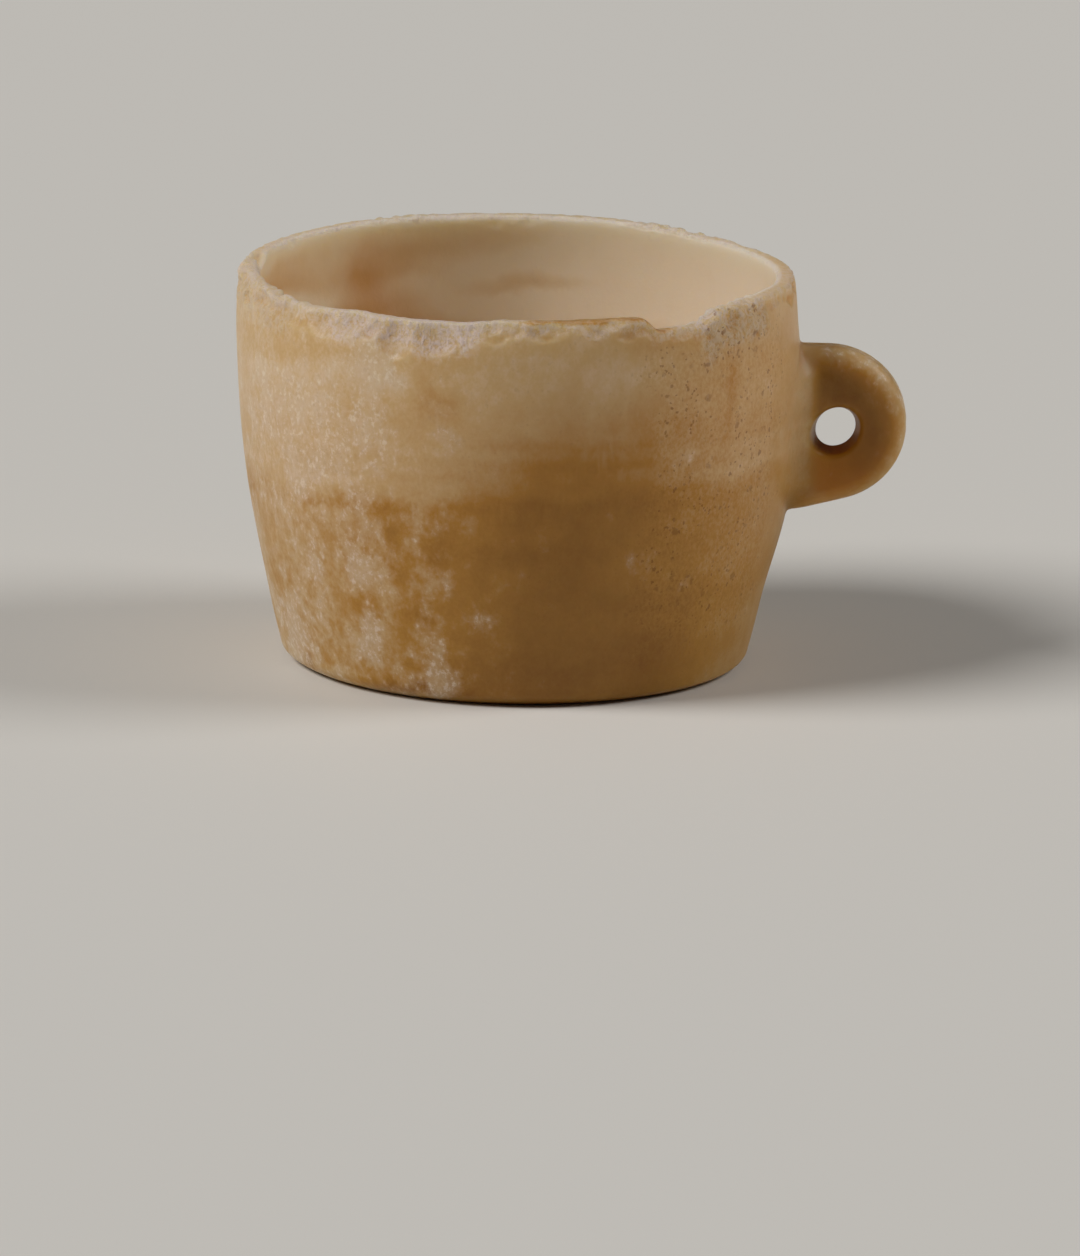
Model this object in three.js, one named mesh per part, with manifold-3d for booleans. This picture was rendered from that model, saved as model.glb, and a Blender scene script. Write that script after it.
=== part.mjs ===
// A small cup carved from one block of calcite, with one pierced lug handle.
// Millimetres, +Z up. The origin is the centre of the flat underside, and the lug points along +X.

import * as THREE from 'three';
import { mergeVertices } from 'three/addons/utils/BufferGeometryUtils.js';
import Module from 'manifold-3d';

// Outside of the cup
const HEIGHT = 51;
const FOOT_RADIUS = 29.8;
const BELLY_RADIUS = 36.2;
const BELLY_HEIGHT = 43;
const RIM_RADIUS = 35.7;
const TAPER_POWER = 1.8;
const FOOT_ROUND = { across: 3.6, up: 2.0 };
const RIM_ROUND = { across: 1.3, up: 1.9 };

// Inside of the cup
const FLOOR = 6;
const RIM_WALL = 2.4;
const LOW_WALL = 4.6;
const FLOOR_ROUND = 9;
const LIP_ROUND = { across: 0.5, up: 0.7 };

// How the hand-made cup departs from a true turned shape. Angles are degrees round the cup from the
// lug, and a rise holds between from and to and fades over ramp on either side.
const LEAN = -0.013;
const OUT_OF_ROUND = 0.18;
const FOOT_UNEVEN = { share: 0.35, softest_at: -125 };
const WAVE_START = 0.62 * HEIGHT;
const RIM_WAVES = [
  { from: -147, to: -138, ramp: 12, rise: -0.65 },
  { from: -128, to: -106, ramp: 10, rise: -0.22 },
  { from: -92, to: -66, ramp: 8, rise: 0.45 },
  { from: -58.5, to: -47.5, ramp: 4.5, rise: -1.4 },
  { from: -30, to: -18, ramp: 8, rise: 0.25 },
  { from: 18, to: 40, ramp: 14, rise: -0.2 },
  { from: 75, to: 110, ramp: 30, rise: 0.25 },
  { from: 118, to: 138, ramp: 16, rise: 0.15 },
];

// The lug, a thick half disc standing on the wall
const LUG_RADIUS = 10.1;
const LUG_CENTRE = { out: 39.85, up: 31.6 };
const LUG_ROOT = 31;
const LUG_THICKNESS = 6.4;
const LUG_EDGE_ROUND = 1.8;
const LUG_FILLET = { high: 4.6, low: 3.2, steepness: 0.55, inside: 1.25, sag: 1.3 };
const LUG_SWELLING = { out: 1.0, half_angle: 17, below: [8, 21], above: [34, 46] };

// The hole through the lug, drilled from both faces
const HOLE = { out: 40.9, up: 31.1, waist: 2.5, mouth: 3.2 };

// Flakes lost from the rim's outer edge. below: how far under the rim the scoop's middle is.
// wide and tall: its half sizes. bite: how deep it cuts into the wall.
const SCOOP_DEPTH = 3.2;
const FLAKES = [
  { at: -169, below: 0.1, wide: 4.4, tall: 2.2, bite: 1.0 },
  { at: -156, below: 1.2, wide: 4.0, tall: 2.4, bite: 0.45 },
  { at: -145, below: 0.4, wide: 5.6, tall: 2.6, bite: 0.9 },
  { at: -133, below: 1.0, wide: 4.4, tall: 3.4, bite: 0.6 },
  { at: -125, below: 0.3, wide: 4.2, tall: 2.4, bite: 1.0 },
  { at: -115, below: 1.9, wide: 3.8, tall: 4.4, bite: 0.55 },
  { at: -106, below: 1.0, wide: 5.0, tall: 3.8, bite: 0.8 },
  { at: -96, below: 0.3, wide: 4.8, tall: 2.4, bite: 0.9 },
  { at: -83, below: 0.7, wide: 5.2, tall: 2.6, bite: 0.5 },
  { at: -70, below: 0.0, wide: 3.0, tall: 2.0, bite: 0.8 },
  { at: -53, below: 0.2, wide: 4.8, tall: 2.2, bite: 0.6 },
  { at: -40, below: 0.9, wide: 2.8, tall: 2.8, bite: 0.9 },
  { at: -28, below: 0.6, wide: 4.0, tall: 3.0, bite: 0.55 },
  { at: 33, below: 0.2, wide: 4.4, tall: 2.2, bite: 0.7 },
  { at: 84, below: 0.6, wide: 5.0, tall: 2.6, bite: 0.5 },
  { at: 96, below: 0.0, wide: 3.2, tall: 2.0, bite: 0.8 },
  { at: 148, below: 0.3, wide: 4.6, tall: 2.2, bite: 0.6 },
];

// A deeper chip on the rim's inner edge, opposite the lug
const INNER_CHIP = { at: 171, in: 0.9, below: -0.4, wide: 2.6, deep: 1.9, tall: 2.0 };

// Fineness
const TURN_STEPS = 88;
const WALL_STEPS = 10;
const CORNER_STEPS = 4;
const LUG_TURN_STEPS = 44;
const LUG_RINGS = 9;
const HOLE_STEPS = 28;
const STONE = { color: 0xc9ad86, roughness: 0.55, metalness: 0 };

const { smoothstep, degToRad, lerp, euclideanModulo } = THREE.MathUtils;
const wasm = await Module();
wasm.setup();

// Radius of the outer wall at a height
function outerRadius(up) {
  if (up < BELLY_HEIGHT) {
    const share = (BELLY_HEIGHT - up) / BELLY_HEIGHT;
    return BELLY_RADIUS - (BELLY_RADIUS - FOOT_RADIUS) * share ** TAPER_POWER;
  }
  const share = (up - BELLY_HEIGHT) / (HEIGHT - BELLY_HEIGHT);
  return BELLY_RADIUS - (BELLY_RADIUS - RIM_RADIUS) * share ** 2;
}

// Radius of the hollow at a height: the wall thickens downwards
function innerRadius(up) {
  return outerRadius(up) - lerp(LOW_WALL, RIM_WALL, smoothstep(up, FLOOR, HEIGHT));
}

// Points of a quarter ellipse from angle a to angle b, in degrees, round (out, up)
function roundedCorner(out, up, size, a, b) {
  const points = [];
  for (let i = 0; i <= CORNER_STEPS; i++) {
    const t = degToRad(lerp(a, b, i / CORNER_STEPS));
    points.push(new THREE.Vector2(out + size.across * Math.cos(t), up + size.up * Math.sin(t)));
  }
  return points;
}

// Points up a wall between two heights, both ends left out
function wallPoints(radiusAt, from, to) {
  const points = [];
  for (let i = 1; i < WALL_STEPS; i++) {
    const up = lerp(from, to, i / WALL_STEPS);
    points.push(new THREE.Vector2(radiusAt(up), up));
  }
  return points;
}

// 1 between from and to, fading to 0 over ramp on either side
function plateau(value, from, to, ramp) {
  return smoothstep(value, from - ramp, from) * (1 - smoothstep(value, to, to + ramp));
}

// How much taller or lower the foot's rounding is at an angle in degrees
function footStretch(angle) {
  return 1 + FOOT_UNEVEN.share * Math.cos(2 * degToRad(angle - FOOT_UNEVEN.softest_at));
}

// How much the rim rises or dips at an angle in degrees
function rimRise(angle) {
  let rise = 0;
  for (const { from, to, ramp, rise: height } of RIM_WAVES) {
    const middle = (from + to) / 2;
    const apart = euclideanModulo(angle - middle + 180, 360) - 180;
    rise += height * plateau(apart, from - middle, to - middle, ramp);
  }
  return rise;
}

// Swelling of the wall under the lug, where its root was cut down to the body
function lugSwelling(angle, up) {
  const across = Math.exp(-((angle / LUG_SWELLING.half_angle) ** 2));
  const begins = smoothstep(up, ...LUG_SWELLING.below);
  const fades = 1 - smoothstep(up, ...LUG_SWELLING.above);
  return LUG_SWELLING.out * across * begins * fades;
}

// Moves every vertex of a turned solid to where the hand-made wall has it
function makeUneven(geometry, swells) {
  const position = geometry.getAttribute('position');
  const p = new THREE.Vector3();
  for (let i = 0; i < position.count; i++) {
    p.fromBufferAttribute(position, i);
    const radius = Math.hypot(p.x, p.y);
    const turn = Math.atan2(p.y, p.x);
    const angle = THREE.MathUtils.radToDeg(turn);
    const share = radius / BELLY_RADIUS;
    const swelling = swells ? lugSwelling(angle, p.z) : 0;
    const moved = radius + share * (OUT_OF_ROUND * Math.sin(2 * turn) + swelling);
    p.x = moved * Math.cos(turn) + LEAN * Math.max(p.z, 0);
    p.y = moved * Math.sin(turn);
    if (p.z <= FOOT_ROUND.up) p.z *= footStretch(angle);
    p.z += rimRise(angle) * smoothstep(p.z, WAVE_START, HEIGHT);
    position.setXYZ(i, p.x, p.y, p.z);
  }
  return geometry;
}

// Turns a profile of (radius, height) points about the Z axis
function turned(profile) {
  return new THREE.LatheGeometry(profile, TURN_STEPS).rotateX(Math.PI / 2);
}

// A closed geometry as a manifold-3d solid
function toSolid(geometry) {
  const bare = new THREE.BufferGeometry();
  bare.setAttribute('position', geometry.getAttribute('position'));
  if (geometry.index) bare.setIndex(geometry.index);
  const merged = mergeVertices(bare, 1e-4);
  const corners = merged.index.array;
  const triVerts = [];
  for (let i = 0; i < corners.length; i += 3) {
    const [a, b, c] = corners.slice(i, i + 3);
    if (a !== b && b !== c && c !== a) triVerts.push(a, b, c);
  }
  const mesh = new wasm.Mesh({
    numProp: 3,
    vertProperties: merged.getAttribute('position').array,
    triVerts: new Uint32Array(triVerts),
  });
  return new wasm.Manifold(mesh);
}

// A manifold-3d solid as a flat-shaded geometry
function toGeometry(solid) {
  const mesh = solid.getMesh();
  const geometry = new THREE.BufferGeometry();
  geometry.setAttribute('position', new THREE.BufferAttribute(mesh.vertProperties, 3));
  geometry.setIndex(new THREE.BufferAttribute(mesh.triVerts, 1));
  const flat = geometry.toNonIndexed();
  flat.computeVertexNormals();
  return flat;
}

// The cup's outside as a full block, from the underside to the rim
function outerBlock() {
  const foot = FOOT_ROUND;
  const rim = RIM_ROUND;
  const wall_from = foot.up;
  const wall_to = HEIGHT - rim.up;
  const profile = [
    new THREE.Vector2(0, 0),
    ...roundedCorner(outerRadius(wall_from) - foot.across, wall_from, foot, -90, 0),
    ...wallPoints(outerRadius, wall_from, wall_to),
    ...roundedCorner(outerRadius(wall_to) - rim.across, wall_to, rim, 0, 90),
    new THREE.Vector2(0, HEIGHT),
  ];
  return makeUneven(turned(profile), true);
}

// The hollow, which runs on above the rim
function hollow() {
  const corner = { across: FLOOR_ROUND, up: FLOOR_ROUND };
  const lip_from = HEIGHT - LIP_ROUND.up;
  const lip = innerRadius(HEIGHT) + LIP_ROUND.across;
  const above = HEIGHT + 12;
  const wall_from = FLOOR + FLOOR_ROUND;
  const profile = [
    new THREE.Vector2(0, FLOOR),
    ...roundedCorner(innerRadius(wall_from) - FLOOR_ROUND, wall_from, corner, -90, 0),
    ...wallPoints(innerRadius, wall_from, lip_from),
    new THREE.Vector2(innerRadius(lip_from), lip_from),
    new THREE.Vector2(innerRadius(HEIGHT) + LIP_ROUND.across / 3, HEIGHT - LIP_ROUND.up / 3),
    new THREE.Vector2(lip, HEIGHT + 0.1),
    new THREE.Vector2(lip, above),
    new THREE.Vector2(0, above),
  ];
  return makeUneven(turned(profile), false);
}

// Where the wall's outer face stands under the lug
function wallAtLug(up) {
  return outerRadius(up) + LEAN * up + lugSwelling(0, up);
}

// The lug as a round-edged disc whose half next to the cup is drawn out square into the wall, and
// whose faces spread in a hollow curve where they meet it
function lugPlate() {
  const edge = { across: LUG_EDGE_ROUND, up: LUG_EDGE_ROUND };
  const flat_radius = LUG_RADIUS - LUG_EDGE_ROUND;
  const half = LUG_THICKNESS / 2;
  const face = [];
  for (let i = 0; i < LUG_RINGS; i++) {
    face.push(new THREE.Vector2(flat_radius * i / LUG_RINGS, half));
  }
  const back = face.map((point) => new THREE.Vector2(point.x, -half));
  const profile = [
    ...back,
    ...roundedCorner(flat_radius, LUG_EDGE_ROUND - half, edge, -90, 0),
    ...roundedCorner(flat_radius, half - LUG_EDGE_ROUND, edge, 0, 90),
    ...face.reverse(),
  ];
  const geometry = new THREE.LatheGeometry(profile, LUG_TURN_STEPS);
  const square = (LUG_CENTRE.out - LUG_ROOT) / LUG_RADIUS;
  const position = geometry.getAttribute('position');
  for (let i = 0; i < position.count; i++) {
    let out = position.getX(i);
    let up = position.getZ(i);
    const radius = Math.hypot(out, up);
    if (out < 0) {
      const stretch = Math.min(radius / Math.abs(up), square * radius / Math.abs(out));
      out *= stretch;
      up *= stretch;
    }
    const x = LUG_CENTRE.out + out;
    const z = LUG_CENTRE.up + up;
    const fillet = lerp(LUG_FILLET.low, LUG_FILLET.high, smoothstep(up, -LUG_RADIUS, LUG_RADIUS / 3));
    const near = THREE.MathUtils.clamp(1 - (x - wallAtLug(z)) / fillet, 0, LUG_FILLET.inside);
    const spread = fillet * LUG_FILLET.steepness * near ** 2;
    const sag = LUG_FILLET.sag * near ** 2 * smoothstep(-up, 0, LUG_RADIUS);
    position.setXYZ(i, x, position.getY(i) * (1 + spread / half), z - sag);
  }
  return geometry;
}

// The drilled hole, wide at both mouths and narrow in the middle
function drilledHole() {
  const half = LUG_THICKNESS;
  const flare = (HOLE.mouth - HOLE.waist) / (LUG_THICKNESS / 2);
  const wide = HOLE.waist + flare * half;
  const profile = [
    new THREE.Vector2(0, -half),
    new THREE.Vector2(wide, -half),
    new THREE.Vector2(HOLE.waist, 0),
    new THREE.Vector2(wide, half),
    new THREE.Vector2(0, half),
  ];
  return new THREE.LatheGeometry(profile, HOLE_STEPS).translate(HOLE.out, 0, HOLE.up);
}

// An ellipsoid to cut with, at an angle round the cup, a distance from its axis and a height
function scoop(at, distance, up, deep, wide, tall) {
  const turn = degToRad(at);
  return new THREE.IcosahedronGeometry(1, 2)
    .scale(deep, wide, tall)
    .rotateZ(turn)
    .translate(distance * Math.cos(turn) + LEAN * up, distance * Math.sin(turn), up);
}

function flakeScoop({ at, below, wide, tall, bite }) {
  const up = HEIGHT + rimRise(at) - below;
  return scoop(at, RIM_RADIUS - bite + SCOOP_DEPTH, up, SCOOP_DEPTH, wide, tall);
}

function innerChipScoop() {
  const { at, below, deep, wide, tall } = INNER_CHIP;
  return scoop(at, innerRadius(HEIGHT) - INNER_CHIP.in + deep / 2, HEIGHT - below, deep, wide, tall);
}

function carveVessel() {
  let solid = toSolid(outerBlock()).add(toSolid(lugPlate()));
  solid = solid.subtract(toSolid(hollow())).subtract(toSolid(drilledHole()));
  for (const scooped of [...FLAKES.map(flakeScoop), innerChipScoop()]) {
    solid = solid.subtract(toSolid(scooped));
  }
  return toGeometry(solid);
}

const vessel = new THREE.Mesh(carveVessel(), new THREE.MeshStandardMaterial(STONE));
vessel.name = 'vessel';

const part = new THREE.Group();
part.add(vessel);

export default part;
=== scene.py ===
import itertools
import math
from types import SimpleNamespace

import bpy
import numpy as np
import openvdb
from mathutils import Matrix, Vector


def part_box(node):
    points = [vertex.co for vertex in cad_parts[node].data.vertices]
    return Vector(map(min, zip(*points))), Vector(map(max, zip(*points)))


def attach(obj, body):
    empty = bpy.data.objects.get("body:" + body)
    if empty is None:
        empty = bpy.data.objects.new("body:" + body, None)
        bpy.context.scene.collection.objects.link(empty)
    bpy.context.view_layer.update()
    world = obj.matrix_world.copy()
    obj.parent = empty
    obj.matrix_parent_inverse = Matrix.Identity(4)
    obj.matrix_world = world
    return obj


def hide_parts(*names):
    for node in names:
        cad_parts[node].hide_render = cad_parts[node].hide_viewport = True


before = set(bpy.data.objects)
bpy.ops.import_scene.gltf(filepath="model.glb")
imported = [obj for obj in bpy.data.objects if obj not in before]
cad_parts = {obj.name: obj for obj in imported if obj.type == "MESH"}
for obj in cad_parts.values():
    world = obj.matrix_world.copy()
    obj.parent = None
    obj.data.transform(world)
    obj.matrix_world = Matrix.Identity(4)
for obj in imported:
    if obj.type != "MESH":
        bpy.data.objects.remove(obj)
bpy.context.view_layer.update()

MM = 0.001
NODE = "vessel"
lowest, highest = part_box(NODE)

# Outside of the cup
HEIGHT = 51.0
FOOT_RADIUS = 29.8
BELLY_RADIUS = 36.2
BELLY_HEIGHT = 43.0
RIM_RADIUS = 35.7
TAPER_POWER = 1.8
FOOT_ROUND = (3.6, 2.0)
FOOT_UNEVEN = 0.35
FOOT_SOFTEST_AT = -125
RIM_ROUND = (0.8, 1.0)

# Inside of the cup
FLOOR = 6.0
RIM_WALL = 2.4
LOW_WALL = 4.6
FLOOR_ROUND = 9.0
BLEND_FOR_ROUND = 1.17
LIP_ROUND = 0.8

# How the hand-made cup departs from a true turned shape
LEAN = -0.013
OUT_OF_ROUND = 0.18
WAVE_START = 0.62 * HEIGHT
RIM_WAVES = [  # from, to, ramp, rise
    (-147, -138, 12, -0.65),
    (-128, -106, 10, -0.22),
    (-92, -66, 8, 0.45),
    (-58.5, -47.5, 4.5, -1.4),
    (-30, -18, 8, 0.25),
    (18, 40, 14, -0.2),
    (75, 110, 30, 0.25),
    (118, 138, 16, 0.15),
]

# Heights over which the relief begins, so that the underside stays flat
RELIEF_START = (0.1, 2)

# The lug and its hole
LUG_RADIUS = 10.1
LUG_CENTRE_OUT = highest.x / MM - LUG_RADIUS
LUG_CENTRE_UP = 31.6
LUG_ROOT = 33.0
LUG_THICKNESS = 6.4
LUG_EDGE_ROUND = 2.2
LUG_FILLET = (0.6, 5.6)
LUG_FILLET_GROWTH = (0, 4)
LUG_SAG = 1.3
LUG_SAG_GROWTH = (-2.5, 5)
LUG_SWELLING = 1.0
LUG_SWELLING_HALF_ANGLE = 17.0
LUG_SWELLING_START = (8, 21)
LUG_SWELLING_END = (34, 46)
HOLE_OUT = 40.9
HOLE_UP = 31.1
HOLE_WAIST = 2.5
HOLE_FLARE = 0.22
HOLE_OVAL = 1.07
HOLE_EDGE_ROUND = 0.6

# Flakes lost from the rim's outer edge: at, below the rim, half width, half height, bite
SCOOP_DEPTH = 3.2
FLAKES = [
    (-169, 0.1, 4.4, 2.2, 1.0),
    (-156, 1.2, 4.0, 2.4, 0.45),
    (-145, 0.4, 5.6, 2.6, 0.9),
    (-133, 1.0, 4.4, 3.4, 0.6),
    (-125, 0.3, 4.2, 2.4, 1.0),
    (-115, 1.9, 3.8, 4.4, 0.55),
    (-106, 1.0, 5.0, 3.8, 0.8),
    (-96, 0.3, 4.8, 2.4, 0.9),
    (-83, 0.7, 5.2, 2.6, 0.5),
    (-70, 0.0, 3.0, 2.0, 0.8),
    (-53, 0.2, 4.8, 2.2, 0.6),
    (-40, 0.9, 2.8, 2.8, 0.9),
    (-28, 0.6, 4.0, 3.0, 0.55),
    (33, 0.2, 4.4, 2.2, 0.7),
    (84, 0.6, 5.0, 2.6, 0.5),
    (96, 0.0, 3.2, 2.0, 0.8),
    (148, 0.3, 4.6, 2.2, 0.6),
]
INNER_CHIP_AT = 171
INNER_CHIP = (2.6, 2.0, 1.9)
INNER_CHIP_ABOVE = 0.4

# Small nicks along the rim: how many, their sizes, their bites and lengths as shares of the size,
# how they spread downwards, and the share of them on the outer edge
NICKS = 420
NICK_SIZES = (0.5, 1.3)
NICK_BITES = (0.12, 0.42)
NICK_LENGTHS = (1, 1.8)
NICK_SPREAD = 0.9
NICKS_OUTSIDE = 0.8

# The stone's main layer: its height on the cup's axis, and the direction it is stacked in
LAYER_UP = 26.4
LAYER_WAY = (-0.045, 0.074, 1)

# Shares of the rim's wall over which inside turns into outside
OUTSIDE_FROM = 0.12
OUTSIDE_TO = 0.45

# Fineness of the mesh
VOXEL = 0.3
BAND_VOXELS = 4.0
MOST_TRIANGLES = 190000

# Colours as they look on a screen, 0 to 255
LAYER_TONES = [  # from the palest stone to the deepest amber; the deeper tones also give the painted shade
    (0.0, (230, 212, 194)),
    (0.25, (202, 173, 128)),
    (0.55, (180, 133, 60)),
    (1.0, (124, 74, 4)),
]
GLOW_TONE = (200, 132, 32)
MILK_TONE = (208, 188, 164)
FLECK_TONE = (232, 220, 206)
CRUMB_TONE = (208, 186, 160)
BRUISE_TONE = (216, 196, 188)
PIT_TONE = (112, 68, 22)
FLOOR_TONE = (222, 221, 218)
BACKDROP_TONE = (196, 195, 192)

# The lamps: azimuth, elevation, softness and strength, and their colour
KEY_LAMP = (-160, 45, 26, 2.1)
SIDE_LAMP = (2, 38, 26, 1.1)
LAMP_TINT = (1.0, 0.97, 0.93)
FILL_STRENGTH = 0.05

# How far the floor reaches from the cup
FLOOR_REACH = 4000.0

# Sizes of the stone's texture across x, y and z, and of its pores: spacing, largest share of it
CLOUDS = (4.5, 4.5, 5.5)
CURDS = (1.7, 1.7, 1.9)
FLAKES_OF_SPAR = (0.75, 0.75, 0.95)
SPECKS = (0.5, 0.5, 0.6)
PORES = (1.2, 0.32)
FINE_PORES = (0.65, 0.4)
LARGE_PORES = (1.9, 0.36)
BUMP_HEIGHT = 0.55

# How far light goes into whole stone, in red, green and blue
LIGHT_REACH = 8.0
LIGHT_SHARES = (1.0, 0.8, 0.52)

# The photograph's view: its frame in pixels, the pixel of the underside's centre, and the lens
FRAME_WIDE = 1080
FRAME_TALL = 1256
BASE_PIXEL = (514.6, 653.4)
PIXELS_PER_MM = 7.70
CAMERA_DISTANCE = 1500.0
CAMERA_DOWN = 13.54
CAMERA_ROLL = 1.16
SENSOR = 36.0


def smoothstep(value, low, high):
    share = np.clip((value - low) / (high - low), 0, 1)
    return share * share * (3 - 2 * share)


def plateau(value, start, end, ramp):
    """1 between start and end, fading to 0 over ramp on either side."""
    return smoothstep(value, start - ramp, start) * (1 - smoothstep(value, end, end + ramp))


def smooth_max(a, b, reach):
    """The larger of two fields, with the crease between them rounded."""
    near = np.maximum(reach - np.abs(a - b), 0) / reach
    return np.maximum(a, b) + near * near * reach / 4


def smooth_min(a, b, reach):
    return -smooth_max(-a, -b, reach)


def apart(angle, middle):
    """How far an angle is from another, between -180 and 180."""
    return np.mod(angle - middle + 180, 360) - 180


def rim_rise(angle):
    rise = 0
    for start, end, ramp, height in RIM_WAVES:
        middle = (start + end) / 2
        rise = rise + height * plateau(apart(angle, middle), start - middle, end - middle, ramp)
    return rise


def outer_radius(up):
    below = np.clip((BELLY_HEIGHT - up) / BELLY_HEIGHT, 0, 1)
    above = np.clip((up - BELLY_HEIGHT) / (HEIGHT - BELLY_HEIGHT), 0, 1)
    taper = (BELLY_RADIUS - FOOT_RADIUS) * below ** TAPER_POWER
    return BELLY_RADIUS - taper - (BELLY_RADIUS - RIM_RADIUS) * above ** 2


def inner_radius(up):
    return outer_radius(up) - LOW_WALL + (LOW_WALL - RIM_WALL) * smoothstep(up, FLOOR, HEIGHT)


def lug_swelling(angle, up):
    across = np.exp(-(angle / LUG_SWELLING_HALF_ANGLE) ** 2)
    along = smoothstep(up, *LUG_SWELLING_START) * (1 - smoothstep(up, *LUG_SWELLING_END))
    return LUG_SWELLING * across * along


def rounded_edge(radius, level, edge_radius, edge_level, size):
    """Field of a quarter ellipse, where both distances are past its centre."""
    across, up = size
    reach = np.hypot((radius - edge_radius) / across, (level - edge_level) / up)
    return (reach - 1) * np.minimum(across, up)


def body_field(x, y, z):
    """Negative inside the block that the hollow is cut from."""
    leaned = x - LEAN * z
    angle = np.degrees(np.arctan2(y, leaned))
    uneven = OUT_OF_ROUND * np.sin(2 * np.radians(angle)) + lug_swelling(angle, z)
    radius = np.hypot(leaned, y) - uneven
    up = z - rim_rise(angle) * smoothstep(z, WAVE_START, HEIGHT)
    field = np.maximum(np.maximum(radius - outer_radius(up), -z), up - HEIGHT)
    foot_up = FOOT_ROUND[1] * (1 + FOOT_UNEVEN * np.cos(2 * np.radians(angle - FOOT_SOFTEST_AT)))
    foot_radius = outer_radius(foot_up) - FOOT_ROUND[0]
    rim_level = HEIGHT - RIM_ROUND[1]
    rim_radius = outer_radius(rim_level) - RIM_ROUND[0]
    foot = rounded_edge(radius, -z, foot_radius, -foot_up, (FOOT_ROUND[0], foot_up))
    rim = rounded_edge(radius, up, rim_radius, rim_level, RIM_ROUND)
    field = np.where((radius > foot_radius) & (z < foot_up), foot, field)
    return np.where((radius > rim_radius) & (up > rim_level), rim, field)


def hollow_field(x, y, z):
    """Negative inside the cup's hollow."""
    leaned = x - LEAN * z
    angle = np.degrees(np.arctan2(y, leaned))
    radius = np.hypot(leaned, y) - OUT_OF_ROUND * np.sin(2 * np.radians(angle))
    up = z - rim_rise(angle) * smoothstep(z, WAVE_START, HEIGHT)
    return smooth_max(radius - inner_radius(up), FLOOR - up, BLEND_FOR_ROUND * FLOOR_ROUND)


def lug_fields(x, y, z):
    """The lug's field, and how far a point is inside its outline seen from the front."""
    out = x - LUG_CENTRE_OUT
    sag = LUG_SAG * smoothstep(-out, *LUG_SAG_GROWTH) * smoothstep(LUG_CENTRE_UP - z, 0, LUG_RADIUS)
    up = z + sag - LUG_CENTRE_UP
    outline = np.where(out > 0, np.hypot(out, up), np.abs(up)) - LUG_RADIUS
    side = outline + LUG_EDGE_ROUND
    face = np.abs(y) - LUG_THICKNESS / 2 + LUG_EDGE_ROUND
    plate = np.hypot(np.maximum(side, 0), np.maximum(face, 0)) + np.minimum(np.maximum(side, face), 0)
    return np.maximum(plate - LUG_EDGE_ROUND, LUG_ROOT - x), -outline


def hole_field(x, y, z):
    along = ((x - HOLE_OUT) + (z - HOLE_UP)) / math.sqrt(2) / HOLE_OVAL
    across = ((z - HOLE_UP) - (x - HOLE_OUT)) / math.sqrt(2) * HOLE_OVAL
    return np.hypot(along, across) - HOLE_WAIST - HOLE_FLARE * np.abs(y)


def take_scoop(field, axes, at, distance, up, half_sizes):
    """Cuts an ellipsoid out of the field: half sizes are across the wall, along it and up."""
    turn = math.radians(at)
    centre = (distance * math.cos(turn) + LEAN * up, distance * math.sin(turn), up)
    reach = max(half_sizes) + 1
    spans = [slice(*np.searchsorted(axis, (c - reach, c + reach))) for axis, c in zip(axes, centre)]
    x, y, z = np.meshgrid(*(axis[span] for axis, span in zip(axes, spans)), indexing="ij", sparse=True)
    x, y, z = x - centre[0], y - centre[1], z - centre[2]
    out = x * math.cos(turn) + y * math.sin(turn)
    along = y * math.cos(turn) - x * math.sin(turn)
    deep, wide, tall = half_sizes
    scoop = (np.sqrt((out / deep) ** 2 + (along / wide) ** 2 + (z / tall) ** 2) - 1) * min(half_sizes)
    field[tuple(spans)] = np.maximum(field[tuple(spans)], -scoop)


def chip_rim(field, axes):
    """Listed flakes, the chip on the inner edge, and many small nicks along both edges."""
    for at, below, wide, tall, bite in FLAKES:
        up = HEIGHT + rim_rise(at) - below
        take_scoop(field, axes, at, RIM_RADIUS - bite + SCOOP_DEPTH, up, (SCOOP_DEPTH, wide, tall))
    wide, tall, deep = INNER_CHIP
    inner = RIM_RADIUS - RIM_WALL
    take_scoop(field, axes, INNER_CHIP_AT, inner, HEIGHT + INNER_CHIP_ABOVE, (deep, wide, tall))
    rng = np.random.default_rng(11)
    for _ in range(NICKS):
        at = rng.uniform(-180, 180)
        size = rng.uniform(*NICK_SIZES)
        bite = rng.uniform(*NICK_BITES) * size
        below = abs(rng.normal(0, NICK_SPREAD))
        outside = rng.random() < NICKS_OUTSIDE
        distance = RIM_RADIUS - bite + size if outside else inner + bite - size
        up = HEIGHT + rim_rise(at) - below - 0.2 * size
        take_scoop(field, axes, at, distance, up, (size, size * rng.uniform(*NICK_LENGTHS), size))


def vessel_field():
    """The whole cup as a field on a grid: the grid's axes and the field, negative inside the stone."""
    margin = BAND_VOXELS * VOXEL
    spans = zip((lowest / MM).to_tuple(), (highest / MM).to_tuple())
    axes = [np.arange(low - margin, high + margin, VOXEL, dtype=np.float32) for low, high in spans]
    x, y, z = np.meshgrid(*axes, indexing="ij", sparse=True)
    lug, depth = lug_fields(x, y, z)
    body = body_field(x, y, z)
    fillet = LUG_FILLET[0] + (LUG_FILLET[1] - LUG_FILLET[0]) * smoothstep(depth, *LUG_FILLET_GROWTH)
    field = smooth_min(body, lug, fillet)
    field = smooth_max(field, -hollow_field(x, y, z), LIP_ROUND)
    field = smooth_max(field, -hole_field(x, y, z), HOLE_EDGE_ROUND)
    chip_rim(field, axes)
    return axes, field


# Where the stone is bruised, stained and milky, and where shade is painted on it

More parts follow.
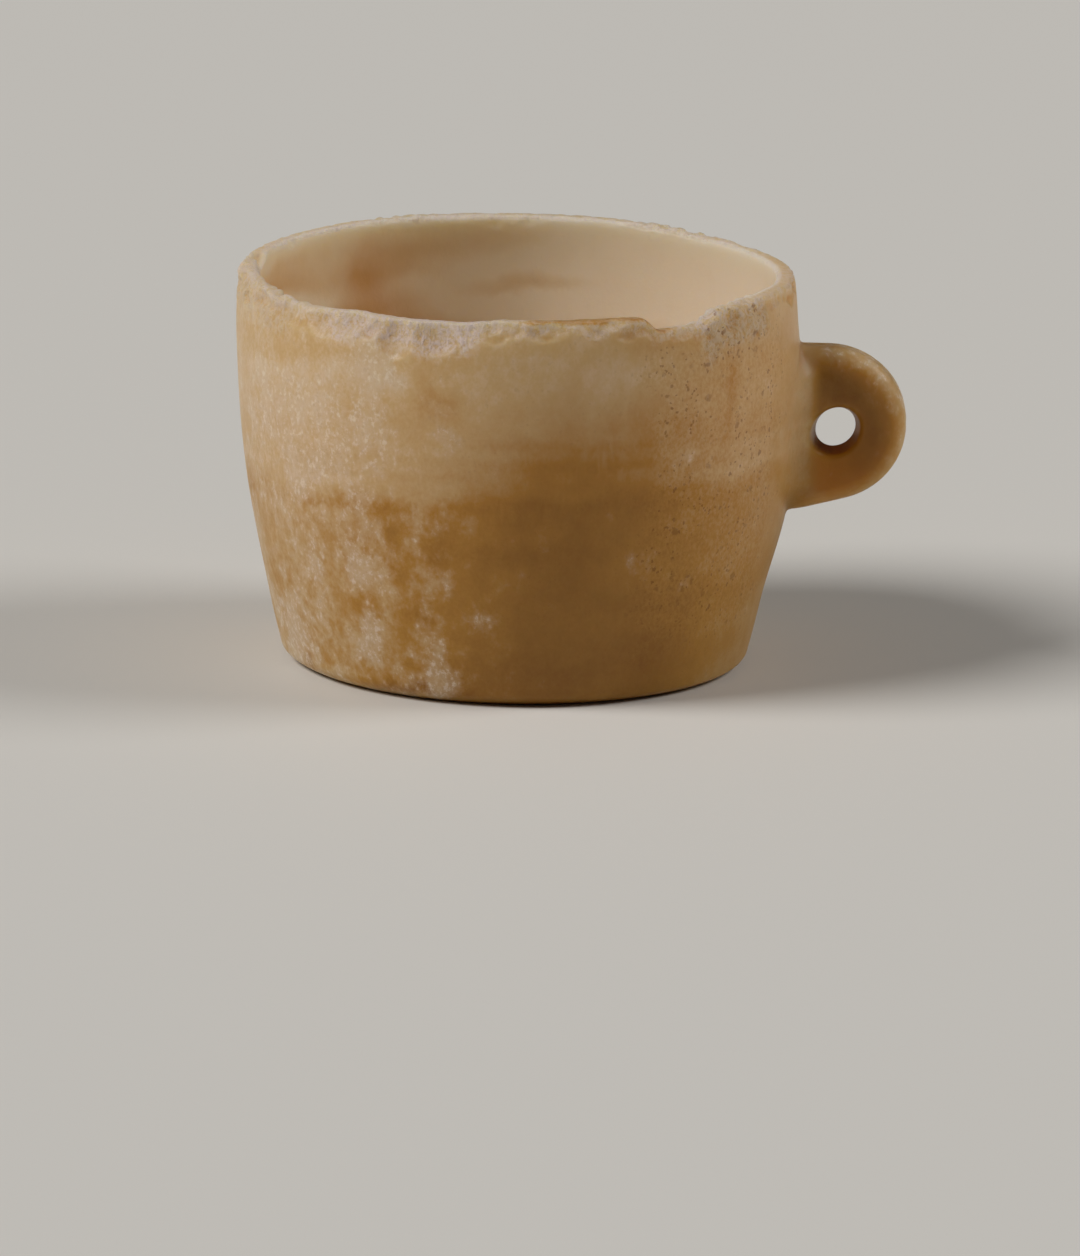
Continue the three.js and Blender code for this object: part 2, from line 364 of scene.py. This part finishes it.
CRUSHED = [  # whitened stretches of the rim: from, to, ramp, how far down, strength
    (-148, -132, 7, 2.4, 0.6),
    (-132, -119, 4, 4.2, 0.9),
    (-118, -108, 4, 5.0, 0.95),
    (-108, -98, 2.5, 4.6, 1.0),
    (-96, -82, 3, 2.4, 0.7),
    (-80, -62, 3, 2.6, 0.55),
    (-49.5, -47, 1.2, 1.7, 0.9),
    (-24, 8, 8, 1.0, 0.35),
    (22, 60, 10, 1.6, 0.4),
    (82, 108, 8, 2.6, 0.5),
    (135, 165, 8, 1.8, 0.5),
]
GRAINY = [  # crumbling stretches of the rim, in the same terms
    (-176, -146, 6, 6.0, 1.0),
    (-47, -28, 3, 6.5, 1.0),
    (44, 62, 5, 3.0, 0.7),
    (112, 124, 4, 3.5, 0.6),
]
WEATHERED = [(-46, -28, 3, 6.5, 1.0)]
AMBER_AND_SHADE_PATCHES = [  # angle, height, half width, half height, strength
    (-121.7, 26, 6, 2, 0.12),
    (-116, 20.5, 1.6, 5, 0.15),
    (-107, 20.5, 2.5, 2, 0.15),
    (-111, 11.8, 2.4, 2.8, 0.18),
    (-126, 12, 2.2, 3, 0.12),
    (-150, 2.2, 1.5, 1, 0.3),
    (-115, 2, 8, 1.2, 0.3),
    # partly amber stone and partly painted shade, where the front of the cup lies out of the lamps' light
    (-82, 19, 14, 12, 0.28),
    (-40, 41, 1.3, 5, 0.14),
    (-106, 41.5, 2.6, 4, 0.17),
    (-169, 25, 2.5, 3, 0.3),
    # these three, across the front and low at its right, are partly amber stone and partly painted shade,
    # darkest towards the base
    (-74, 33, 13, 6, 0.3),
    (-86, -3, 17, 13, 0.42),
    (-54, 7, 9, 8, 0.16),
    (60, 18, 9, 8, 0.4),
    (90, 30, 6, 5, 0.3),
    (140, 26, 7, 8, 0.3),
    (110, 8, 8, 5, 0.4),
]
MILKY_PATCHES = [  # in the same terms
    (-126, 18.4, 2.2, 2.6, 0.8),
    (-139, 16.5, 1.2, 3, 0.7),
    (-125, 8.5, 1.8, 3.2, 0.6),
    (-152, 6, 6, 4.5, 0.7),
    (-105, 24, 2, 1.6, 0.5),
    (-104, 15.7, 1.5, 1.6, 0.5),
    (-107, 4, 2.6, 3, 0.5),
    (-97.5, 10.7, 2.2, 3, 0.3),
    (-141, 26, 2.4, 2.4, 0.6),
    (-52, 33.5, 6, 3.4, 0.35),
    (-60, 20, 3.4, 3.2, 0.16),
    (-51, 15, 2, 3, 0.3),
    (-89.5, 24, 2.6, 2.4, 0.25),
    (-147, 37, 8, 6, 0.6),
    (-124, 36, 5, 5, 0.5),
    (-118, 43, 5, 3, 0.5),
    (-104, 36, 2, 4, 0.4),
    (-135, 30, 4, 2.6, 0.4),
    (-90, 47, 12, 3, 0.35),
    (-120, 46, 2.2, 2.6, 0.5),
    (40, 34, 6, 5, 0.5),
    (100, 14, 5, 4, 0.6),
    (160, 34, 5, 6, 0.5),
    (70, 42, 8, 4, 0.4),
    (-8, 14, 4, 5, 0.4),
    (130, 10, 4, 3, 0.6),
]
INSIDE_STAIN = [  # in the same terms
    (124, 40, 7.5, 7.0, 0.7),
    (127, 43, 2.6, 3.0, 0.4),
]
LAYER_EDGE = (-1.6, 0.8)  # heights over the main layer between which the stone turns pale
SEAMS_AT = (-2, 5, 4)  # from, to, ramp, over the main layer
MILKY_SIDE = (-120, -80)  # angles between which the milkiness ends
WARM_SIDE = (-54, 15, 22)  # angles: from, to, ramp
SPECKLED_SIDE = (-57, -24, 9)  # the same
SPECKLED_HEIGHTS = (12, 44, 8)
PAINTED_SHADE_ON_LIP = (-84, -60, 8)  # angles of the stretch of lip given painted shade: darker and less whitened


def strip_mask(strips, angle, under_rim):
    mask = 0
    for start, end, ramp, down, strength in strips:
        middle = (start + end) / 2
        along = plateau(apart(angle, middle), start - middle, end - middle, ramp)
        mask = np.maximum(mask, strength * along * (1 - smoothstep(under_rim, 0.45 * down, down)))
    return mask


def patch_mask(patches, angle, up):
    mask = 0
    for at, level, wide, tall, strength in patches:
        along = np.radians(apart(angle, at)) * BELLY_RADIUS
        mask = mask + strength * np.exp(-((along / wide) ** 2 + ((up - level) / tall) ** 2))
    return mask


def layer_height(points):
    """Height over the stone's main layer, which dips a little to the left and the back."""
    return points @ LAYER_WAY - LAYER_UP


def lattice_noise(points, seed):
    """Smooth noise between -1 and 1, with one lattice cell a unit."""
    size = 32
    table = np.random.default_rng(seed).uniform(-1, 1, (size, size, size))
    cell = np.floor(points).astype(int)
    part = points - cell
    part = part * part * (3 - 2 * part)
    total = np.zeros(len(points))
    for corner in itertools.product((0, 1), repeat=3):
        weight = np.prod(np.where(corner, part, 1 - part), axis=1)
        total += weight * table[tuple(((cell + corner) % size).T)]
    return total


def round_the_cup(points):
    """Angle round the cup, distance from its axis, height, and distance under the rim."""
    leaned = points[:, 0] - LEAN * points[:, 2]
    angle = np.degrees(np.arctan2(points[:, 1], leaned))
    return angle, np.hypot(leaned, points[:, 1]), points[:, 2], HEIGHT + rim_rise(angle) - points[:, 2]


def outside_share(radius, up):
    """1 on the outside of the cup, 0 on the inside, with the change inside the thickness of the rim."""
    return smoothstep(radius - inner_radius(up), OUTSIDE_FROM * RIM_WALL, OUTSIDE_TO * RIM_WALL)


def ragged_depth(points):
    """Distance under the rim with a ragged edge; damage reaches much less far down on the inside."""
    _, radius, up, under_rim = round_the_cup(points)
    ragged = under_rim + 0.9 * lattice_noise(points / 1.9, 7) + 0.5 * lattice_noise(points / 0.9, 8)
    return ragged + 3 * np.maximum(under_rim, 0) * (1 - outside_share(radius, up))


def lip_mask(points):
    """The worn, patchy grain that runs along the whole lip."""
    patchy = 0.5 + 0.5 * lattice_noise(points / 2.2, 9)
    return (0.3 + 0.5 * patchy) * (1 - smoothstep(ragged_depth(points), 0.5, 1.8))


def relief(points):
    """How far the worked and weathered surface stands out at each point."""
    angle, _, up, _ = round_the_cup(points)
    swell = 0.11 * lattice_noise(points / 13, 1) + 0.05 * lattice_noise(points / 5.5, 2)
    ragged = ragged_depth(points)
    crushed = np.maximum(strip_mask(CRUSHED, angle, ragged), lip_mask(points))
    grainy = strip_mask(GRAINY, angle, ragged)
    grit = lattice_noise(points / 0.7, 4) + 0.7 * lattice_noise(points / 1.3, 6)
    pits = smoothstep(lattice_noise(points / 1.2, 5), 0.2, 0.55) * strip_mask(WEATHERED, angle, ragged)
    rough = (0.12 * crushed + 0.2 * grainy) * grit - 0.06 * crushed - 0.3 * pits
    return (swell + rough) * smoothstep(up, *RELIEF_START)


def make_mesh(points, faces):
    mesh = bpy.data.meshes.new("calcite_cup")
    mesh.from_pydata((points * MM).tolist(), [], faces.tolist())
    mesh.update()
    return mesh


def mesh_points(mesh):
    points = np.empty(len(mesh.vertices) * 3, np.float32)
    mesh.vertices.foreach_get("co", points)
    return points.reshape(-1, 3) / MM


def mesh_normals(mesh):
    normals = np.empty(len(mesh.vertices) * 3, np.float32)
    mesh.vertex_normals.foreach_get("vector", normals)
    return normals.reshape(-1, 3)


def build_cup():
    """The fine cup: meshed from its field, given its relief, and thinned where it is smooth."""
    axes, field = vessel_field()
    grid = openvdb.FloatGrid(background=BAND_VOXELS * VOXEL)
    grid.copyFromArray(np.clip(field, -BAND_VOXELS * VOXEL, BAND_VOXELS * VOXEL).astype(np.float32))
    points, quads = grid.convertToQuads(isovalue=0.0)
    points = points * VOXEL + [axis[0] for axis in axes]
    mesh = make_mesh(points, quads[:, ::-1])
    points = mesh_points(mesh)
    moved = points + mesh_normals(mesh) * relief(points)[:, None]
    moved = np.clip(moved, lowest / MM, highest / MM)
    mesh.vertices.foreach_set("co", (moved * MM).astype(np.float32).ravel())
    mesh.update()
    cup = bpy.data.objects.new("calcite_cup", mesh)
    bpy.context.scene.collection.objects.link(cup)
    thin = cup.modifiers.new("thin", "DECIMATE")
    thin.ratio = min(1, MOST_TRIANGLES / (2 * len(mesh.polygons)))
    shown = cup.evaluated_get(bpy.context.evaluated_depsgraph_get())
    final = bpy.data.meshes.new_from_object(shown)
    cup.modifiers.clear()
    cup.data = final
    final.shade_smooth()
    return cup


def add_mask(mesh, name, values):
    layer = mesh.attributes.new(name, "FLOAT", "POINT")
    layer.data.foreach_set("value", np.clip(values, 0, 1).astype(np.float32))


def describe(points):
    """Where each point is on the cup, as the shares and distances that the masks are made of."""
    angle, radius, up, under_rim = round_the_cup(points)
    outside = outside_share(radius, up)
    beyond = smoothstep(points[:, 0], BELLY_RADIUS + 0.6, BELLY_RADIUS + 3)
    bend = 1.3 * lattice_noise(points / 3.1, 25) + 0.8 * lattice_noise(points / 1.3, 26)
    above = layer_height(points) + 1.2 * lattice_noise(points / 7, 21) + 0.3 * bend
    from_lug_centre = np.hypot(points[:, 0] - LUG_CENTRE_OUT, up - LUG_CENTRE_UP)
    towards_root = 1 - smoothstep(points[:, 0], LUG_CENTRE_OUT, highest.x / MM)
    return SimpleNamespace(
        angle=angle,
        up=up,
        bend=bend,
        above=above,
        ragged=ragged_depth(points),
        outside=outside,
        inside=1 - outside,
        below=1 - smoothstep(above, *LAYER_EDGE),
        left=1 - smoothstep(angle, *MILKY_SIDE),
        right=plateau(angle + 3 * bend, *SPECKLED_SIDE) * plateau(up + bend, *SPECKLED_HEIGHTS),
        # painted shade along the near lip
        painted_shade_on_lip=(1 - smoothstep(under_rim + 0.25 * bend, 0.0, 0.5)) * plateau(angle, *PAINTED_SHADE_ON_LIP),
        lug=beyond * smoothstep(8 - np.abs(points[:, 1]), 0, 1),
        # the lug's paler rim: partly its own greyer rind, partly a painted highlight where light catches
        # the edge
        lug_rind_and_highlight=smoothstep(from_lug_centre, 6, LUG_RADIUS),
        low_on_lug=smoothstep(LUG_CENTRE_UP + 3 - up, 0, 9) * towards_root,
    )


def inside_stain(at):
    return 0.22 * patch_mask(INSIDE_STAIN, at.angle + at.bend, at.up + at.bend) * at.inside


def warmth_and_painted_light_mask(points, at):
    """0 for pale stone to 1 for deep amber: layers, seams, patches, and a paler inside, with painted
    shade on the front, on the near lip and on the lug's face, and painted light inside.
    """
    layers = lattice_noise(np.column_stack([points[:, :2] / 16, at.above / 2.6]), 22)
    seams = lattice_noise(np.column_stack([points[:, :2] / 12, layer_height(points) / 0.8]), 23)
    warmth_and_painted_light = 0.22 + 0.2 * at.below + (0.05 + 0.13 * at.inside) * layers
    warmth_and_painted_light = warmth_and_painted_light + 0.07 * seams * at.outside * plateau(at.above, *SEAMS_AT)
    warmth_and_painted_light = warmth_and_painted_light + 0.1 * at.outside * plateau(at.angle, *WARM_SIDE)
    patches = patch_mask(AMBER_AND_SHADE_PATCHES, at.angle + 1.6 * at.bend, at.up + at.bend)
    warmth_and_painted_light = warmth_and_painted_light + patches * at.outside
    # paler inside towards the rim: the stone's own paler inside, with painted light strongest on the
    # inner wall the key lamp lights and painted shade deeper down
    paler_inside_and_painted_light = (0.2 + 0.08 * np.cos(np.radians(at.angle - 30))) * smoothstep(at.up, 20, 40)
    warmth_and_painted_light = warmth_and_painted_light - paler_inside_and_painted_light * at.inside
    # the stone's own stain inside, and painted shade on the near lip
    warmth_and_painted_light = warmth_and_painted_light + inside_stain(at) + 0.5 * at.painted_shade_on_lip
    # the lug: deep amber, deepened on its face as painted shade where the cup shades it, and paler at its
    # rim
    return warmth_and_painted_light * (1 - at.lug) + at.lug * (0.8 - 0.4 * at.lug_rind_and_highlight)


def glow_mask(at):
    """Where light comes through as orange: low on the lug, and at the stain inside."""
    return 0.9 * at.lug * at.low_on_lug * (1 - 0.6 * at.lug_rind_and_highlight) + inside_stain(at)


def milky_mask(at):
    """Milky veils on the outside, most of them at the left, and the lug's pale rind, partly a painted
    highlight along its edge.
    """
    veils = patch_mask(MILKY_PATCHES, at.angle + at.bend, at.up + at.bend)
    veils = veils + at.left * (0.34 + 0.1 * at.below)
    return veils * at.outside * (1 - at.lug) + 0.5 * at.lug * at.lug_rind_and_highlight * (1 - at.low_on_lug)


def add_masks(cup):
    """What the stone is like at each point, kept as values on the mesh that the material reads."""
    points = mesh_points(cup.data)
    at = describe(points)
    wall = at.outside * (1 - at.lug)
    crushed = np.maximum(strip_mask(CRUSHED, at.angle, at.ragged), lip_mask(points))
    weathered = strip_mask(WEATHERED, at.angle, at.ragged)
    add_mask(cup.data, "warmth_and_painted_light", warmth_and_painted_light_mask(points, at))
    add_mask(cup.data, "glow", glow_mask(at))
    add_mask(cup.data, "milky", milky_mask(at))
    add_mask(cup.data, "mottled", wall * (0.16 + 0.4 * at.left * at.below) + 0.1 + 0.25 * at.lug)
    add_mask(cup.data, "sandy", wall * (0.15 + 0.6 * at.right + 0.25 * at.left))
    # less whitening where the lip has painted shade
    add_mask(cup.data, "crushed", crushed * (1 - 0.6 * at.painted_shade_on_lip))
    add_mask(cup.data, "grainy", strip_mask(GRAINY, at.angle, at.ragged))
    add_mask(cup.data, "pitted", wall * (0.15 + 0.8 * at.right + weathered))


# Materials

class Surface:
    """A material's node tree, with a short way to add each kind of node."""

    def __init__(self, name):
        self.material = bpy.data.materials.new(name)
        self.material.use_nodes = True
        self.tree = self.material.node_tree
        self.shader = self.tree.nodes["Principled BSDF"]
        self.place = self.add("ShaderNodeTexCoord").outputs["Object"]

    def add(self, kind, inputs=(), **settings):
        node = self.tree.nodes.new(kind)
        for name, value in settings.items():
            setattr(node, name, value)
        for name, value in dict(inputs).items():
            self.put(node.inputs[name], value)
        return node

    def put(self, socket, value):
        if isinstance(value, bpy.types.NodeSocket):
            self.tree.links.new(value, socket)
        else:
            socket.default_value = value

    def noise(self, size, detail, roughness):
        """Noise whose blobs are about size (across x, y, z in millimetres)."""
        scale = tuple(1 / (MM * s) for s in size)
        spread = self.add("ShaderNodeMapping", {"Vector": self.place, "Scale": scale})
        node = self.add("ShaderNodeTexNoise", {
            "Vector": spread.outputs[0],
            "Scale": 1.0,
            "Detail": detail,
            "Roughness": roughness,
        })
        return node.outputs["Fac"]

    def pores(self, spacing, largest):
        """1 in ragged dots of random sizes, up to largest of their spacing, and 0 between them."""
        ragged = self.add("ShaderNodeTexNoise", {"Vector": self.place, "Scale": 2 / (MM * spacing)})
        sway = self.vector_math("SCALE", {0: ragged.outputs["Color"], "Scale": 0.7})
        spread = self.vector_math("SCALE", {0: self.place, "Scale": 1 / (MM * spacing)})
        swayed = self.vector_math("ADD", {0: spread, 1: sway})
        cells = self.add("ShaderNodeTexVoronoi", {"Vector": swayed, "Scale": 1.0})
        chance = self.add("ShaderNodeSeparateColor", {"Color": cells.outputs["Color"]}).outputs["Red"]
        past = self.math("SUBTRACT", cells.outputs["Distance"], self.math("MULTIPLY", chance, largest))
        return self.ramp(past, 0.0, -0.12)

    def ramp(self, value, low, high, start=0.0, end=1.0):
        """Follows a value from low to high with a smooth change from start to end."""
        limits = {"From Min": low, "From Max": high, "To Min": start, "To Max": end}
        node = self.add("ShaderNodeMapRange", {"Value": value, **limits}, interpolation_type="SMOOTHSTEP")
        return node.outputs["Result"]

    def math(self, operation, a, b):
        node = self.add("ShaderNodeMath", operation=operation)
        self.put(node.inputs[0], a)
        self.put(node.inputs[1], b)
        return node.outputs[0]

    def vector_math(self, operation, inputs):
        return self.add("ShaderNodeVectorMath", inputs, operation=operation).outputs[0]

    def scale(self, value, stops):
        """A colour for each value between 0 and 1, from a list of places and colours."""
        node = self.add("ShaderNodeValToRGB", {"Fac": value})
        marks = node.color_ramp.elements
        while len(marks) < len(stops):
            marks.new(0.5)
        for mark, (place, tone) in zip(marks, stops):
            mark.position = place
            mark.color = tone
        return node.outputs["Color"]

    def mix(self, share, a, b):
        node = self.add("ShaderNodeMix", data_type="RGBA")
        self.put(node.inputs["Factor"], share)
        self.put(node.inputs["A"], a)
        self.put(node.inputs["B"], b)
        return node.outputs["Result"]

    def mask(self, name):
        return self.add("ShaderNodeAttribute", attribute_name=name).outputs["Fac"]


def colour(red, green, blue):
    """A screen colour, 0 to 255, as the linear colour that a shader takes."""
    linear = [((c / 255 + 0.055) / 1.055) ** 2.4 for c in (red, green, blue)]
    return (*linear, 1.0)


def pit_mask(s, veil):
    """Dark pores in clusters, the large ones only where the stone is weathered."""
    pitted = s.mask("pitted")
    large = s.math("MULTIPLY", s.pores(*LARGE_PORES), s.ramp(pitted, 0.85, 1))
    holes = s.math("MAXIMUM", s.math("MAXIMUM", s.pores(*PORES), s.pores(*FINE_PORES)), large)
    clustered = s.math("MULTIPLY", holes, s.ramp(veil, 0.42, 0.56, 0.1, 1))
    return s.math("MULTIPLY", clustered, pitted)


def whole_tone(s, veil, flakes, specks):
    """The colour of unbroken stone: layers with mottling and painted shade, light coming through, and
    milky veils.
    """
    mottling = s.math("MULTIPLY", s.ramp(veil, 0.3, 0.7, 0.14, -0.22), s.mask("mottled"))
    grain = s.math("MULTIPLY", s.ramp(specks, 0.3, 0.7, 0.08, -0.08), s.mask("sandy"))
    warmth_and_painted_light = s.math("ADD", s.mask("warmth_and_painted_light"), s.math("ADD", mottling, grain))
    tone = s.scale(warmth_and_painted_light, [(place, colour(*tone)) for place, tone in LAYER_TONES])
    tone = s.mix(s.math("MULTIPLY", s.mask("glow"), 0.8), tone, colour(*GLOW_TONE))
    milk = s.ramp(s.math("ADD", veil, s.math("MULTIPLY", s.mask("milky"), 0.4)), 0.6, 0.9)
    veiled = s.math("MULTIPLY", milk, s.ramp(flakes, 0.3, 0.65, 0.4, 0.7))
    tone = s.mix(veiled, tone, colour(*MILK_TONE))
    flecks = s.math("MULTIPLY", s.ramp(flakes, 0.5, 0.68), s.ramp(milk, 0.05, 0.7, 0.0, 0.5))
    return s.mix(flecks, tone, colour(*FLECK_TONE))


def calcite():
    """Banded calcite: cream to deep amber, with milky veils, whitened bruises and dark pits."""
    s = Surface("calcite")
    clouds = s.noise(CLOUDS, detail=4, roughness=0.6)
    curds = s.noise(CURDS, detail=3, roughness=0.6)
    flakes = s.noise(FLAKES_OF_SPAR, detail=3, roughness=0.7)
    specks = s.noise(SPECKS, detail=2, roughness=0.65)
    veil = s.math("ADD", s.math("MULTIPLY", clouds, 0.6), s.math("MULTIPLY", curds, 0.4))
    grit = s.math("MULTIPLY", s.math("ADD", flakes, specks), 0.5)
    grainy = s.mask("grainy")
    crushed = s.mask("crushed")

    crumbs = s.math("MULTIPLY", grainy, s.ramp(grit, 0.4, 0.58, 0.1, 0.85))
    whitened = s.math("MULTIPLY", crushed, s.ramp(grit, 0.4, 0.58, 0.2, 1))
    tone = s.mix(crumbs, whole_tone(s, veil, flakes, specks), colour(*CRUMB_TONE))
    tone = s.mix(whitened, tone, colour(*BRUISE_TONE))
    tone = s.mix(s.math("MULTIPLY", pit_mask(s, veil), 0.6), tone, colour(*PIT_TONE))
    s.put(s.shader.inputs["Base Color"], tone)

    loose = s.math("MAXIMUM", crumbs, whitened)
    s.put(s.shader.inputs["Roughness"], s.math("ADD", 0.4, s.math("MULTIPLY", loose, 0.25)))
    s.put(s.shader.inputs["IOR"], 1.5)
    s.put(s.shader.inputs["Specular IOR Level"], 0.25)
    s.put(s.shader.inputs["Subsurface Weight"], s.ramp(loose, 0, 1, 0.85, 0.3))
    s.put(s.shader.inputs["Subsurface Radius"], LIGHT_SHARES)
    s.put(s.shader.inputs["Subsurface Scale"], LIGHT_REACH * MM)

    broken = s.ramp(s.math("MAXIMUM", grainy, crushed), 0, 1, 0.12, 1.0)
    height = s.math("MULTIPLY", grit, broken)
    bump = s.add("ShaderNodeBump", {"Height": height, "Distance": BUMP_HEIGHT * MM})
    s.put(s.shader.inputs["Normal"], bump.outputs["Normal"])
    return s.material


def floor_paint():
    s = Surface("pale_floor")
    s.put(s.shader.inputs["Base Color"], colour(*FLOOR_TONE))
    s.put(s.shader.inputs["Roughness"], 0.7)
    return s.material


# The studio

def make_floor():
    reach = FLOOR_REACH * MM
    corners = [(-reach, -reach), (reach, -reach), (reach, reach), (-reach, reach)]
    mesh = bpy.data.meshes.new("floor")
    mesh.from_pydata([(x, y, lowest.z) for x, y in corners], [], [(0, 1, 2, 3)])
    mesh.materials.append(floor_paint())
    floor = bpy.data.objects.new("floor", mesh)
    bpy.context.scene.collection.objects.link(floor)


def add_light(name, azimuth, elevation, softness, strength):
    """A far, broad lamp that lights cup and floor evenly. Azimuth is counted as on the cup."""
    light = bpy.data.lights.new(name, "SUN")
    light.angle = math.radians(softness)
    light.energy = strength
    light.color = LAMP_TINT
    lamp = bpy.data.objects.new(name, light)
    turn, rise = math.radians(azimuth), math.radians(elevation)
    way = Vector((math.cos(turn) * math.cos(rise), math.sin(turn) * math.cos(rise), math.sin(rise)))
    lamp.location = way
    lamp.rotation_euler = way.to_track_quat("Z", "Y").to_euler()
    bpy.context.scene.collection.objects.link(lamp)


def make_world():
    """Dim light from all round, with a pale backdrop where the camera looks past the floor."""
    world = bpy.data.worlds.new("studio")
    world.use_nodes = True
    tree = world.node_tree
    fill = tree.nodes["Background"]
    fill.inputs["Color"].default_value = (*LAMP_TINT, 1)
    fill.inputs["Strength"].default_value = FILL_STRENGTH
    backdrop = tree.nodes.new("ShaderNodeBackground")
    backdrop.inputs["Color"].default_value = colour(*BACKDROP_TONE)
    seen = tree.nodes.new("ShaderNodeLightPath")
    either = tree.nodes.new("ShaderNodeMixShader")
    tree.links.new(seen.outputs["Is Camera Ray"], either.inputs["Fac"])
    tree.links.new(fill.outputs[0], either.inputs[1])
    tree.links.new(backdrop.outputs[0], either.inputs[2])
    tree.links.new(either.outputs[0], tree.nodes["World Output"].inputs["Surface"])
    bpy.context.scene.world = world
    bpy.context.scene.view_settings.view_transform = "Standard"


def make_lights():
    add_light("key", *KEY_LAMP)
    add_light("side", *SIDE_LAMP)
    make_world()


def make_camera():
    """The photograph's view: the middle of the underside falls on its pixel, and up leans right."""
    down = math.radians(CAMERA_DOWN)
    roll = math.radians(CAMERA_ROLL)
    focal = PIXELS_PER_MM * CAMERA_DISTANCE
    forward = Vector((0, math.cos(down), -math.sin(down)))
    place = -forward * CAMERA_DISTANCE * MM
    level_up = Vector((0, math.sin(down), math.cos(down)))
    right = Vector((math.cos(roll), 0, 0)) + level_up * math.sin(roll)
    up = level_up * math.cos(roll) - Vector((math.sin(roll), 0, 0))
    across = FRAME_WIDE / 2 - BASE_PIXEL[0]
    above = BASE_PIXEL[1] - FRAME_TALL / 2
    aim = (forward * focal + right * across + up * above).normalized()
    side = aim.cross(up).normalized()
    turned = Matrix((side, side.cross(aim), -aim)).transposed().to_4x4()
    camera = bpy.data.cameras.new("camera")
    camera.sensor_width = SENSOR
    camera.lens = focal / FRAME_TALL * SENSOR
    camera.clip_end = 20
    holder = bpy.data.objects.new("camera", camera)
    holder.matrix_world = Matrix.Translation(place) @ turned
    bpy.context.scene.collection.objects.link(holder)
    bpy.context.scene.camera = holder


make_camera()
make_lights()
make_floor()

cup = build_cup()
add_masks(cup)
cup.data.materials.append(calcite())
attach(cup, "root")
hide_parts(NODE)
